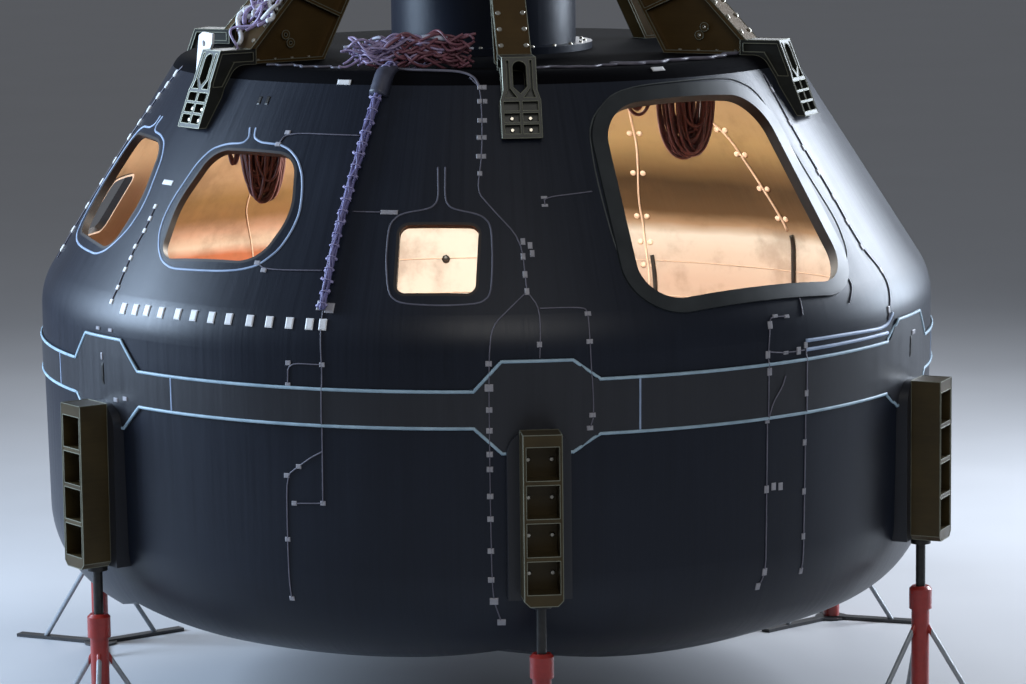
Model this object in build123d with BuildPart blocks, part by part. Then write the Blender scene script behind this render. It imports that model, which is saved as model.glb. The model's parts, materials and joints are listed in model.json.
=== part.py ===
"""Composite crew capsule: a bare pressure shell parked on six jack stands.

Millimetres, +Z up. The origin is on the floor under the capsule's axis. Stations round the
axis are angles in degrees, 0 at -Y and growing anticlockwise seen from above, so that the
side hatch faces +X (station 90) and the capsule is alike left and right of station 0.
"""

import os
from math import atan2, cos, radians, sin, sqrt, tan

from build123d import *

os.makedirs("parts", exist_ok=True)

# Pressure shell, outside surface
shell_radius = 2300
wall = 30
cone_angle = 32.5
ceiling_z = 3340
ceiling_thickness = 60
eave_z = 2180
eave_bend_radius = 360
shoulder_bend_radius = 90
taper_z = 1970
taper_angle = 1.1
joint_z = 1840
corner_z = 696
floor_bend_radius = 500
crown_angle = 20
seat_gap = 0.3

# Lobed floor: spheres that meet in valleys over the backbone webs
floor_z = 420
lobe_radius = 4200
lobe_across = 1000
web_offset = 1150
side_lobe_offset = 1600
web_thickness = 40
web_top_z = 1000

# Belt over the joint of the two half shells, with a pad behind each fitting
belt_thickness = 8
belt_low_z = 1740
belt_high_z = 1925
wide_belt_low_z = 1700
wide_belt_high_z = 1970
wide_belt_start_angle = 66.5
wide_belt_end_angle = 113.5
pad_low_z = 1620
pad_high_z = 2065
pad_half_width = 308
pad_half_top = 172

# Docking tunnel and the ceiling under it
tunnel_radius = 475
tunnel_wall = 20
tunnel_top_z = 4200
tunnel_flange_radius = 560
tunnel_flange_thickness = 35

# Stations of the six load fittings, with a gusset above and a stand below each
stations = [0, 60, 120, 180, 240, 300]

# Lower fitting: a milled box with four pockets, on a composite seat
fitting_standoff = 194
fitting_width = 180
fitting_depth = 150
fitting_low_z = 938
fitting_high_z = 1742
fitting_side = 12
fitting_back = 15
fitting_end_plate = 55
fitting_rib = 20
pocket_count = 4
fitting_foot_bevel = 25
seat_width = 300
seat_corner_radius = 120
seat_root = 90

# Upper fitting: a milled bracket over the shoulder. Places on its front are measured from the
# middle of its foot: x along the wall, y up the leaning front.
bracket_foot_z = 3045
bracket_foot_standoff = 41
bracket_top_z = 3415
bracket_lean_run = 145
bracket_heel_inset = 121
bracket_half_outline = [(95, 0), (95, 185), (80, 235), (80, 520)]
bracket_rows = 3
bracket_row_pitch = 57
bracket_row_low = 20
bracket_row_rib = 10
bracket_pocket_inner = 6
bracket_pocket_outer = 83
bracket_pocket_depth = 26
bracket_slot = [(14, 198), (74, 198), (62, 240), (62, 384), (48, 384), (48, 247)]
bracket_window_half = 34
bracket_window_foot = 216
bracket_window_spring = 250
bracket_window_crown = 346
bracket_window_depth = 150
bracket_flange = 16
bracket_side_pocket_z = 3240
bracket_side_web = 136

# Gusset: a leaning leg from the bracket's heel to the tunnel's top
gusset_thickness = 24
gusset_foot_length = 420
gusset_knee_radius = 700
gusset_knee_z = 3925
gusset_throat_z = 3990
gusset_top_z = 4150
gusset_top_radius = 745
gusset_cap_width = 160
gusset_cap = 20
gusset_cap_toe = 30
gusset_flange_width = 100
gusset_flange = 14
gusset_rib_places = [0.35, 0.68]
gusset_bosses = [(-240, 90), (-212, 132)]
gusset_boss_radius = 22
gusset_boss_hole = 9
gusset_boss_length = 50

# Jack stand: tripod with a screw
stand_inset = 126
stand_tube_radius = 45
stand_tube_top_z = 690
stand_turn_angles = [175.3, 0, 0, 184.7, 0, 0]
collar_radius = 57
collar_low_z = 575
collar_bevel = 14
foot_plate_radius = 90
foot_plate_thickness = 12
bar_length = 520
bar_width = 60
bar_height = 18
brace_radius = 13
brace_reach = 350
brace_top_z = 545
screw_radius = 24
screw_head_radius = 50
screw_head_height = 30

# Openings in the cone: corners in the plane that touches the cone at the opening's middle,
# x along the station and y up the slope, each with its rounding
window_slant = 620
window_corners = [
    (-355, -306, 120), (300, -276, 190), (388, 10, 330),
    (285, 320, 150), (-255, 316, 170), (-382, 10, 400),
]
window_angle = 15.5
square_slant = 395
square_angle = 48
square_width = 400
square_height = 380
square_corner_radius = 60
hatch_slant = 683
hatch_angle = 90
hatch_half_low = 650
hatch_half_high = 494
hatch_half_height = 528
hatch_low_corner_radius = 200
hatch_high_corner_radius = 240
frame_lining = 14
frame_overhang = 8
hatch_ring_width = 60
hatch_ring_proud = 12
hatch_frame_depth = 50

# Laced cable bundle from the ceiling's edge down the cone: station and drop of its points
bundle_radius = 20
bundle_start_angle = 36.7
bundle_start_inset = 123
bundle_points = [(36.3, 100), (35.2, 380), (34.2, 730), (34.3, 1065)]
bend_share = 0.45

# Cables lying tied on the ceiling: station of their points, and how far in from its rim
pile_radius = 62
pile_points = [(25, 96), (35, 189), (45, 236), (54, 255)]

# Cable coils hung from the ceiling inside: name, station, inset from the rim, width, drop
coils = [
    ("cable_coil_window", -7.9, 276, 250, 674),
    ("cable_coil_hatch", 122.6, 466, 310, 500),
]
coil_facing_angle = 54
coil_thickness = 100
coil_corner_radius = 115

cone_slope = tan(radians(cone_angle))


def cone_radius(height):
    """Outside radius of the cone at a height."""
    return shell_radius - (height - eave_z) * cone_slope


# Radii that follow from the cone, the ceiling's rim and the lower fittings
rim_radius = cone_radius(ceiling_z)
bracket_foot_radius = cone_radius(bracket_foot_z) + bracket_foot_standoff
bracket_top_radius = bracket_foot_radius - bracket_lean_run
bracket_heel_radius = rim_radius - bracket_heel_inset
gusset_foot_radius = bracket_heel_radius - gusset_foot_length
fitting_face = shell_radius + fitting_standoff
stand_radius = fitting_face - stand_inset


def radial(station):
    """Unit vector straight out at a station."""
    return Vector(sin(radians(station)), -cos(radians(station)), 0)


def tangent(station):
    """Unit vector along the wall at a station, towards the next one."""
    return Vector(cos(radians(station)), sin(radians(station)), 0)


def face_plane(station, radius):
    """Upright plane that faces out at a station: x along the wall, y up from the floor."""
    return Plane(origin=radial(station) * radius, x_dir=tangent(station), z_dir=radial(station))


def meridian_plane(station):
    """Upright plane through the axis: x is the radius, y the height."""
    return Plane(origin=(0, 0, 0), x_dir=radial(station), z_dir=-tangent(station))


def front_plane(station):
    """Leaning plane of an upper fitting's front: x along the wall, y up from its foot."""
    lean = atan2(bracket_foot_radius - bracket_top_radius, bracket_top_z - bracket_foot_z)
    return Plane(
        origin=radial(station) * bracket_foot_radius + Vector(0, 0, bracket_foot_z),
        x_dir=tangent(station),
        z_dir=radial(station) * cos(lean) + Vector(0, 0, sin(lean)),
    )


def slope_plane(station, slant):
    """Plane that touches the cone: x along the wall, y up the slope from the eave line."""
    angle = radians(cone_angle)
    radius = shell_radius - slant * sin(angle)
    height = eave_z + slant * cos(angle)
    normal = radial(station) * cos(angle) + Vector(0, 0, sin(angle))
    return Plane(
        origin=radial(station) * radius + Vector(0, 0, height),
        x_dir=tangent(station),
        z_dir=normal,
    )


def off_cone(station, height, lift):
    """Point at a height of the cone, lifted off its outside surface."""
    angle = radians(cone_angle)
    normal = radial(station) * cos(angle) + Vector(0, 0, sin(angle))
    return radial(station) * cone_radius(height) + Vector(0, 0, height) + normal * lift


def bend_radii(points):
    """Widest arc that each corner of a route has room for."""
    radii = []
    for before, corner, after in zip(points, points[1:], points[2:]):
        run = min((corner - before).length, (after - corner).length)
        half_turn = radians((corner - before).get_angle(after - corner)) / 2
        radii.append(bend_share * run / tan(half_turn))
    return radii


def band(start, end, depth):
    """Corners of a band laid along the left side of a line."""
    line = Vector(end[0] - start[0], end[1] - start[1])
    side = Vector(-line.Y, line.X).normalized() * depth
    return [start, end, (end[0] + side.X, end[1] + side.Y), (start[0] + side.X, start[1] + side.Y)]


def between(start, end, share):
    """Point at a share of the way between two points."""
    return tuple(a + (b - a) * share for a, b in zip(start, end))


def hull(inset):
    """Solid of revolution inside the shell's outside surface, drawn in by an inset."""
    angle = radians(cone_angle)
    taper = tan(radians(taper_angle))
    side = shell_radius - inset
    top = ceiling_z - (ceiling_thickness if inset > 0 else 0)
    eave = eave_z - inset * (1 / cos(angle) - 1) / tan(angle)
    top_radius = cone_radius(top) - inset / cos(angle)
    corner_radius = side - (taper_z - corner_z) * taper
    crown = tan(radians(crown_angle))
    corner = corner_z + inset / cos(radians(crown_angle)) - inset * crown
    with BuildPart() as body:
        with BuildSketch(Plane.XZ) as profile:
            with BuildLine():
                Polyline(
                    (0, top), (top_radius, top), (side, eave), (side, taper_z),
                    (corner_radius, corner), (0, corner - corner_radius * crown),
                    close=True,
                )
            make_face()
            rounds = [(eave, eave_bend_radius), (corner, floor_bend_radius)]
            if inset <= 0:
                rounds.append((top, shoulder_bend_radius))
            for height, round_off in rounds:
                outer = profile.vertices().filter_by(lambda v: v.X > 1)
                fillet(outer.sort_by_distance((side, height, 0))[0], round_off - inset)
        revolve(axis=Axis.Z)
    return body.part


def lobes(inset):
    """The six spheres whose lower sides are the lobes of the floor."""
    side_radius = sqrt(lobe_radius**2 - 2 * web_offset * side_lobe_offset + side_lobe_offset**2)
    height = floor_z + lobe_radius
    with BuildPart() as balls:
        for across in (-lobe_across, lobe_across):
            with Locations((across, 0, height)):
                Sphere(lobe_radius - inset, rotation=(90, 0, 0))
            with Locations((across, -side_lobe_offset, height), (across, side_lobe_offset, height)):
                Sphere(side_radius - inset, rotation=(90, 0, 0))
    return balls.part


outer_hull = hull(0)
inner_hull = hull(wall)
lobe_skin = lobes(0)
lobe_core = lobes(wall)

# Height bands that cut the shell into its two halves and its ceiling
reach = 2 * shell_radius


def slab(low, high):
    """A wide slab between two heights."""
    with BuildPart() as block:
        with BuildSketch(Plane.XY.offset(low)):
            Circle(reach)
        extrude(amount=high - low)
    return block.part


def window_outline(mirrored, grow):
    """Sketch outline of a teardrop window, mirrored for the left hand."""
    sign = -1 if mirrored else 1
    with BuildSketch(mode=Mode.PRIVATE) as outline:
        with BuildLine():
            Polyline([(sign * x, y) for x, y, _ in window_corners], close=True)
        make_face()
        for x, y, round_off in window_corners:
            fillet(
                outline.vertices().sort_by_distance((sign * x, y, 0))[0],
                round_off,
            )
        if grow:
            offset(amount=grow)
    return outline.sketch


def square_outline(grow):
    """Sketch outline of a small square window."""
    with BuildSketch(mode=Mode.PRIVATE) as outline:
        RectangleRounded(
            square_width + 2 * grow, square_height + 2 * grow, square_corner_radius + grow
        )
    return outline.sketch


def hatch_outline(grow):
    """Sketch outline of the side hatch, narrower at the top."""
    with BuildSketch(mode=Mode.PRIVATE) as outline:
        with BuildLine():
            Polyline(
                (-hatch_half_low, -hatch_half_height), (hatch_half_low, -hatch_half_height),
                (hatch_half_high, hatch_half_height), (-hatch_half_high, hatch_half_height),
                close=True,
            )
        make_face()
        fillet(outline.vertices().group_by(Axis.Y)[0], hatch_low_corner_radius)
        fillet(outline.vertices().group_by(Axis.Y)[-1], hatch_high_corner_radius)
        if grow:
            offset(amount=grow)
    return outline.sketch


# Each opening in the cone: name, station, slant of its middle, outline, depth of its frame
openings = [
    ("window_frame_right", window_angle, window_slant, window_outline, (False,), wall + frame_overhang),
    ("window_frame_left", -window_angle, window_slant, window_outline, (True,), wall + frame_overhang),
    ("small_window_frame_right", square_angle, square_slant, square_outline, (), wall + frame_overhang),
    ("small_window_frame_left", -square_angle, square_slant, square_outline, (), wall + frame_overhang),
    ("hatch_frame", hatch_angle, hatch_slant, hatch_outline, (), hatch_frame_depth),
]
cut_reach = 400

# Upper shell: cone and eave, with the openings cut
with BuildPart() as upper_shell:
    add(outer_hull)
    add(inner_hull, mode=Mode.SUBTRACT)
    add(slab(joint_z, ceiling_z - ceiling_thickness), mode=Mode.INTERSECT)
    for _, station, slant, outline, choice, _ in openings:
        with BuildSketch(slope_plane(station, slant).offset(-cut_reach)):
            add(outline(*choice, 0))
        extrude(amount=2 * cut_reach, mode=Mode.SUBTRACT)
upper_shell.part.label = "upper_shell"
export_step(upper_shell.part, "parts/upper_shell.step")

# Ceiling: flat composite disc that closes the cone, bored for the tunnel
with BuildPart() as ceiling:
    add(outer_hull)
    add(slab(ceiling_z - ceiling_thickness, ceiling_z + 1), mode=Mode.INTERSECT)
    with BuildSketch(Plane.XY.offset(ceiling_z)):
        Circle(tunnel_radius)
    extrude(amount=-ceiling_thickness, mode=Mode.SUBTRACT)
ceiling.part.label = "ceiling"
export_step(ceiling.part, "parts/ceiling.step")

# Lower shell: barrel and lobed floor in one
with BuildPart() as lower_shell:
    add(outer_hull)
    add(slab(0, joint_z), mode=Mode.INTERSECT)
    add(lobe_skin, mode=Mode.INTERSECT)
    with BuildPart(mode=Mode.PRIVATE) as cavity:
        add(inner_hull)
        add(slab(0, joint_z + 1), mode=Mode.INTERSECT)
        add(lobe_core, mode=Mode.INTERSECT)
    add(cavity.part, mode=Mode.SUBTRACT)
lower_shell.part.label = "lower_shell"
export_step(lower_shell.part, "parts/lower_shell.step")

# Backbone: crossed webs that stand in the floor's valleys
with BuildPart() as backbone:
    with BuildSketch(Plane.XY):
        with Locations((0, -web_offset), (0, web_offset)):
            Rectangle(2 * reach, web_thickness)
        Rectangle(web_thickness, 2 * reach)
    extrude(amount=web_top_z)
    with BuildPart(mode=Mode.PRIVATE) as cavity_fit:
        add(hull(wall + seat_gap))
        add(slab(0, joint_z), mode=Mode.INTERSECT)
        add(lobes(wall + seat_gap), mode=Mode.INTERSECT)
    add(cavity_fit.part, mode=Mode.INTERSECT)
backbone.part.label = "backbone"
export_step(backbone.part, "parts/backbone.step")

# Belt: outer strap over the joint, deeper on the hatch side, with pads at the fittings
with BuildPart() as belt:
    add(slab(belt_low_z, belt_high_z))
    with BuildSketch(Plane.XY.offset(wide_belt_low_z)):
        with BuildLine():
            Polyline(
                (0, 0),
                tuple(radial(wide_belt_start_angle) * reach)[:2],
                tuple(radial(hatch_angle) * reach)[:2],
                tuple(radial(wide_belt_end_angle) * reach)[:2],
                close=True,
            )
        make_face()
    extrude(amount=wide_belt_high_z - wide_belt_low_z)
    for station in stations:
        with BuildSketch(face_plane(station, shell_radius - wall)):
            with BuildLine():
                Polyline(
                    (-pad_half_width, belt_high_z), (-pad_half_top, pad_high_z),
                    (pad_half_top, pad_high_z), (pad_half_width, belt_high_z),
                    (pad_half_width, belt_low_z), (pad_half_top, pad_low_z),
                    (-pad_half_top, pad_low_z), (-pad_half_width, belt_low_z),
                    close=True,
                )
            make_face()
        extrude(amount=2 * wall)
    add(hull(-belt_thickness), mode=Mode.INTERSECT)
    add(outer_hull, mode=Mode.SUBTRACT)
belt.part.label = "splice_belt"
export_step(belt.part, "parts/splice_belt.step")

# Frames that line the openings
for name, station, slant, outline, choice, depth in openings:
    with BuildPart() as frame:
        with BuildSketch(slope_plane(station, slant).offset(-cut_reach)):
            add(outline(*choice, 0))
            add(outline(*choice, -frame_lining), mode=Mode.SUBTRACT)
        extrude(amount=2 * cut_reach)
        add(outer_hull, mode=Mode.INTERSECT)
        add(hull(depth), mode=Mode.SUBTRACT)
        if name == "hatch_frame":
            with BuildPart(mode=Mode.PRIVATE) as ring:
                with BuildSketch(slope_plane(station, slant).offset(-cut_reach)):
                    add(outline(hatch_ring_width))
                    add(outline(-frame_lining), mode=Mode.SUBTRACT)
                extrude(amount=2 * cut_reach)
                add(hull(-hatch_ring_proud), mode=Mode.INTERSECT)
                add(outer_hull, mode=Mode.SUBTRACT)
            add(ring.part)
    frame.part.label = name
    export_step(frame.part, f"parts/{name}.step")

# Docking tunnel: tube with a foot ring and a top ring
with BuildPart() as tunnel:
    with BuildSketch(Plane.XY.offset(ceiling_z)):
        Circle(tunnel_radius)
    extrude(amount=tunnel_top_z - ceiling_z)
    for height in (ceiling_z, tunnel_top_z - tunnel_flange_thickness):
        with BuildSketch(Plane.XY.offset(height)):
            Circle(tunnel_flange_radius)
        extrude(amount=tunnel_flange_thickness)
    with BuildSketch(Plane.XY.offset(ceiling_z)):
        Circle(tunnel_radius - tunnel_wall)
    extrude(amount=tunnel_top_z - ceiling_z, mode=Mode.SUBTRACT)
tunnel.part.label = "docking_tunnel"
export_step(tunnel.part, "parts/docking_tunnel.step")

# Composite seats between the barrel and the lower fittings, one solid at each station
with BuildPart() as seats:
    seat_face = fitting_face - fitting_depth
    for station in stations:
        with BuildSketch(face_plane(station, seat_face)) as seat:
            with Locations((0, (fitting_low_z + fitting_high_z) / 2)):
                Rectangle(seat_width, fitting_high_z - fitting_low_z)
            fillet(seat.vertices().group_by(Axis.Y)[-1], seat_corner_radius)
        extrude(amount=-seat_root)
    add(outer_hull, mode=Mode.SUBTRACT)
    add(belt.part, mode=Mode.SUBTRACT)
seats.part.label = "fitting_seats"
export_step(seats.part, "parts/fitting_seats.step")

for index, station in enumerate(stations, start=1):
    # Lower fitting: milled box, open pockets to the front
    with BuildPart() as fitting:
        middle = (fitting_low_z + fitting_high_z) / 2
        height = fitting_high_z - fitting_low_z
        pitch = (height - 2 * fitting_end_plate + fitting_rib) / pocket_count
        with BuildSketch(face_plane(station, fitting_face)) as block:
            with Locations((0, middle)):
                Rectangle(fitting_width, height)
            chamfer(block.vertices().group_by(Axis.Y)[0], fitting_foot_bevel)
        extrude(amount=-fitting_depth)
        with BuildSketch(face_plane(station, fitting_face)):
            with Locations((0, middle)):
                with GridLocations(0, pitch, 1, pocket_count):
                    Rectangle(fitting_width - 2 * fitting_side, pitch - fitting_rib)
        extrude(amount=fitting_back - fitting_depth, mode=Mode.SUBTRACT)
    fitting.part.label = f"lower_fitting_{index}"
    export_step(fitting.part, f"parts/lower_fitting_{index}.step")

    # Upper fitting: bracket that seats on the cone and the shoulder
    with BuildPart() as bracket:
        with BuildSketch(meridian_plane(station)):
            with BuildLine():
                Polyline(
                    (bracket_foot_radius, bracket_foot_z), (bracket_top_radius, bracket_top_z),
                    (bracket_heel_radius, bracket_top_z), (bracket_heel_radius, ceiling_z - wall),
                    (cone_radius(bracket_foot_z) - wall, bracket_foot_z),
                    close=True,
                )
            make_face()
        extrude(amount=fitting_width, both=True)
        with BuildSketch(front_plane(station)):
            with BuildLine():
                left_half = [(-x, y) for x, y in reversed(bracket_half_outline)]
                Polyline(bracket_half_outline + left_half, close=True)
            make_face()
        extrude(amount=bracket_heel_radius - bracket_foot_radius - wall, mode=Mode.INTERSECT)
        add(outer_hull, mode=Mode.SUBTRACT)
        with BuildSketch(front_plane(station)):
            pocket_middle = (bracket_pocket_inner + bracket_pocket_outer) / 2
            pocket_height = bracket_row_pitch - bracket_row_rib
            rows_middle = bracket_row_low + (bracket_rows * bracket_row_pitch - bracket_row_rib) / 2
            with Locations((0, rows_middle)):
                with GridLocations(2 * pocket_middle, bracket_row_pitch, 2, bracket_rows):
                    Rectangle(bracket_pocket_outer - bracket_pocket_inner, pocket_height)
            for side in (-1, 1):
                with BuildLine():
                    Polyline([(side * x, y) for x, y in bracket_slot], close=True)
                make_face()
        extrude(amount=-bracket_pocket_depth, mode=Mode.SUBTRACT)
        with BuildSketch(front_plane(station)):
            with BuildLine():
                half = bracket_window_half
                Polyline(
                    (-half, bracket_window_crown), (-half, bracket_window_spring),
                    (0, bracket_window_foot), (half, bracket_window_spring),
                    (half, bracket_window_crown),
                )
                ThreePointArc(
                    (half, bracket_window_crown), (0, bracket_window_crown + half),
                    (-half, bracket_window_crown),
                )
            make_face()
        extrude(amount=-bracket_window_depth, mode=Mode.SUBTRACT)
        lean = (bracket_foot_radius - bracket_top_radius) / (bracket_top_z - bracket_foot_z)
        low = bracket_side_pocket_z
        high = bracket_top_z - bracket_flange
        sill = ceiling_z + bracket_flange
        for side in (-1, 1):
            with BuildSketch(meridian_plane(station).offset(side * fitting_width)):
                with BuildLine():
                    Polyline(
                        (bracket_foot_radius - (low - bracket_foot_z) * lean - bracket_flange, low),
                        (bracket_foot_radius - (high - bracket_foot_z) * lean - bracket_flange, high),
                        (bracket_heel_radius + bracket_flange, high),
                        (bracket_heel_radius + bracket_flange, sill),
                        (cone_radius(sill) + bracket_flange, sill),
                        (cone_radius(low) + bracket_flange, low),
                        close=True,
                    )
                make_face()
            extrude(amount=side * (bracket_side_web / 2 - fitting_width), mode=Mode.SUBTRACT)
    bracket.part.label = f"upper_fitting_{index}"
    export_step(bracket.part, f"parts/upper_fitting_{index}.step")

    # Gusset: leaning web with a cap along its outer edge, flanges, two ribs and two bosses
    with BuildPart() as gusset:
        outer_low = (bracket_heel_radius, bracket_top_z)
        outer_high = (gusset_top_radius, gusset_top_z)
        inner_low = (gusset_foot_radius, ceiling_z)
        inner_high = (gusset_knee_radius, gusset_knee_z)
        with BuildSketch(meridian_plane(station)):
            with BuildLine():
                Polyline(
                    inner_low, (bracket_heel_radius, ceiling_z), outer_low, outer_high,
                    (tunnel_radius, gusset_top_z), (tunnel_radius, gusset_throat_z), inner_high,
                    close=True,
                )
            make_face()
        extrude(amount=gusset_thickness / 2, both=True)
        cap = band(outer_low, outer_high, -gusset_cap)
        cap[3] = (bracket_heel_radius + gusset_cap_toe, bracket_top_z)
        with BuildSketch(meridian_plane(station)):
            with BuildLine():
                Polyline(cap, close=True)
            make_face()
        extrude(amount=gusset_cap_width / 2, both=True)
        flanges = [
            band(inner_low, inner_high, -gusset_flange),
            band(inner_low, (bracket_heel_radius, ceiling_z), gusset_flange),
        ]
        for share in gusset_rib_places:
            inner = between(inner_low, inner_high, share)
            outer = between(outer_low, outer_high, share)
            flanges.append(band(inner, outer, gusset_flange))
        for corners in flanges:
            with BuildSketch(meridian_plane(station)):
                with BuildLine():
                    Polyline(corners, close=True)
                make_face()
            extrude(amount=gusset_flange_width / 2, both=True)
        boss_places = [(bracket_heel_radius + x, ceiling_z + y) for x, y in gusset_bosses]
        with BuildSketch(meridian_plane(station)):
            with Locations(boss_places):
                Circle(gusset_boss_radius)
        extrude(amount=gusset_boss_length / 2, both=True)
        with BuildSketch(meridian_plane(station)):
            with Locations(boss_places):
                Circle(gusset_boss_hole)
        extrude(amount=gusset_boss_length, both=True, mode=Mode.SUBTRACT)
        with BuildSketch(Plane.XY.offset(ceiling_z)):
            Circle(tunnel_radius)
        extrude(amount=tunnel_top_z - ceiling_z, mode=Mode.SUBTRACT)
    gusset.part.label = f"gusset_{index}"
    export_step(gusset.part, f"parts/gusset_{index}.step")

    # Jack stand: tripod bars, braces, tube and collar
    foot = radial(station) * stand_radius
    with BuildPart() as stand:
        with Locations((foot.X, foot.Y, 0)):
            Cylinder(
                stand_tube_radius, stand_tube_top_z,
                align=(Align.CENTER, Align.CENTER, Align.MIN),
            )
            Cylinder(
                foot_plate_radius, foot_plate_thickness,
                align=(Align.CENTER, Align.CENTER, Align.MIN),
            )
        with Locations((foot.X, foot.Y, collar_low_z)):
            Cylinder(
                collar_radius, stand_tube_top_z - collar_low_z,
                align=(Align.CENTER, Align.CENTER, Align.MIN),
            )
            chamfer(stand.edges().group_by(Axis.Z)[-1], collar_bevel)
        for turn in (0, 120, 240):
            heading = radial(station + stand_turn_angles[index - 1] + turn)
            with BuildSketch(Plane(origin=foot, x_dir=heading, z_dir=(0, 0, 1))):
                with Locations((bar_length / 2, 0)):
                    Rectangle(bar_length, bar_width)
            extrude(amount=bar_height)
            low = foot + heading * brace_reach + Vector(0, 0, bar_height / 2)
            high = foot + Vector(0, 0, brace_top_z)
            with BuildSketch(Plane(origin=low, z_dir=(high - low).normalized())):
                Circle(brace_radius)
            extrude(amount=(high - low).length)
        with BuildSketch(Plane(origin=foot, z_dir=(0, 0, 1))):
            Circle(screw_radius + seat_gap)
        extrude(amount=stand_tube_top_z, mode=Mode.SUBTRACT)
        with BuildSketch(Plane(origin=foot, z_dir=(0, 0, 1))):
            Circle(bar_length)
        extrude(amount=-2 * brace_radius, mode=Mode.SUBTRACT)
    stand.part.label = f"jack_stand_{index}"
    export_step(stand.part, f"parts/jack_stand_{index}.step")

    # Jack screw: threaded rod with a head under the lower fitting
    with BuildPart() as screw:
        with Locations((foot.X, foot.Y, bar_height)):
            Cylinder(
                screw_radius, fitting_low_z - bar_height,
                align=(Align.CENTER, Align.CENTER, Align.MIN),
            )
        with Locations((foot.X, foot.Y, fitting_low_z - screw_head_height)):
            Cylinder(
                screw_head_radius, screw_head_height,
                align=(Align.CENTER, Align.CENTER, Align.MIN),
            )
    screw.part.label = f"jack_screw_{index}"
    export_step(screw.part, f"parts/jack_screw_{index}.step")

# Laced bundle down the cone: starts on the ceiling, bends over the shoulder
with BuildPart() as main_harness:
    lift = bundle_radius + seat_gap
    start = radial(bundle_start_angle)
    shoulder_z = ceiling_z + lift
    shoulder = cone_radius(shoulder_z) + lift / cos(radians(cone_angle))
    route = [
        start * (rim_radius - bundle_start_inset) + Vector(0, 0, shoulder_z),
        start * shoulder + Vector(0, 0, shoulder_z),
    ]
    route += [off_cone(station, ceiling_z - drop, lift) for station, drop in bundle_points]
    with BuildLine() as run:
        FilletPolyline(route, radius=bend_radii(route))
    with BuildSketch(Plane(origin=route[0], z_dir=(route[1] - route[0]).normalized())):
        Circle(bundle_radius)
    sweep(path=run.line)
main_harness.part.label = "main_harness"
export_step(main_harness.part, "parts/main_harness.step")

# Tied cables that lie on the ceiling's edge
with BuildPart() as ceiling_cables:
    route = [
        radial(station) * (rim_radius - inset) + Vector(0, 0, ceiling_z + pile_radius)
        for station, inset in pile_points
    ]
    with BuildLine() as run:
        FilletPolyline(route, radius=bend_radii(route))
    with BuildSketch(Plane(origin=route[0], z_dir=(route[1] - route[0]).normalized())):
        Circle(pile_radius)
    sweep(path=run.line)
ceiling_cables.part.label = "ceiling_cables"
export_step(ceiling_cables.part, "parts/ceiling_cables.step")

# Cable coils that hang from the ceiling inside the cabin
for name, station, inset, width, drop in coils:
    with BuildPart() as coil:
        hanging = Plane(
            origin=radial(station) * (rim_radius - inset) + Vector(0, 0, ceiling_z - ceiling_thickness),
            x_dir=tangent(coil_facing_angle),
            z_dir=radial(coil_facing_angle),
        )
        with BuildSketch(hanging) as face:
            with Locations((0, -drop / 2)):
                Rectangle(width, drop)
            fillet(face.vertices().group_by(Axis.Y)[0], coil_corner_radius)
        extrude(amount=coil_thickness / 2, both=True)
    coil.part.label = name
    export_step(coil.part, f"parts/{name}.step")
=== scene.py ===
"""Looks of the composite crew capsule: bare carbon shell on six jack stands, lit copper inside."""

import json
import random
from math import ceil, cos, pi, radians, sin

import bmesh
import bpy
from mathutils import Matrix, Vector
from mathutils.bvhtree import BVHTree

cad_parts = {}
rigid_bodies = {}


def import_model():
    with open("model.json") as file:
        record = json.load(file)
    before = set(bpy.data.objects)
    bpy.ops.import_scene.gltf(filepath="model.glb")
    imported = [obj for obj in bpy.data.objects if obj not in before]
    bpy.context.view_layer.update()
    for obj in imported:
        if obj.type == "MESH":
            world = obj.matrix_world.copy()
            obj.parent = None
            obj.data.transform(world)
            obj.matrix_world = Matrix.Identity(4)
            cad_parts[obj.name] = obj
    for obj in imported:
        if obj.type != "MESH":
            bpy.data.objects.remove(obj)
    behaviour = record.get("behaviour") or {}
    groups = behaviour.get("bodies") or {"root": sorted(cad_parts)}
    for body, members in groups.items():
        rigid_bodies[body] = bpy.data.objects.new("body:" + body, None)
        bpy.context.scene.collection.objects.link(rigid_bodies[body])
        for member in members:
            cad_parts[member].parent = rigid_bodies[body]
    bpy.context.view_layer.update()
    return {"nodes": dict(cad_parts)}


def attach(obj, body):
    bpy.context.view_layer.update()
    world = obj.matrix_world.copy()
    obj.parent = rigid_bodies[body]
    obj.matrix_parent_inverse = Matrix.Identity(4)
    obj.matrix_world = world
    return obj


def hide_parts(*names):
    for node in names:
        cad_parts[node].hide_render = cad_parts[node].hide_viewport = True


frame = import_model()
nodes = frame["nodes"]


# The camera stands 20 m from the capsule's axis with a long lens, a little above the ceiling's
# height. Stations are degrees round the axis, 0 at -Y, anticlockwise seen from above.
camera_station = 54.28
camera_distance = 20.0
camera_height = 4.816
camera_pitch = radians(8.565)
camera_turn = radians(0.384)
camera_tilt = radians(-0.637)
camera_lens = 135.96


def outward(station):
    """Unit vector straight out from the axis at a station."""
    return Vector((sin(radians(station)), -cos(radians(station)), 0))


def along(station):
    """Unit vector along the wall at a station, towards the next one."""
    return Vector((cos(radians(station)), sin(radians(station)), 0))


def at(station, radius, height, across=0.0):
    """Point at a distance from the axis and a height, with a step aside along the wall."""
    return outward(station) * radius + along(station) * across + Vector((0, 0, height))


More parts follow.
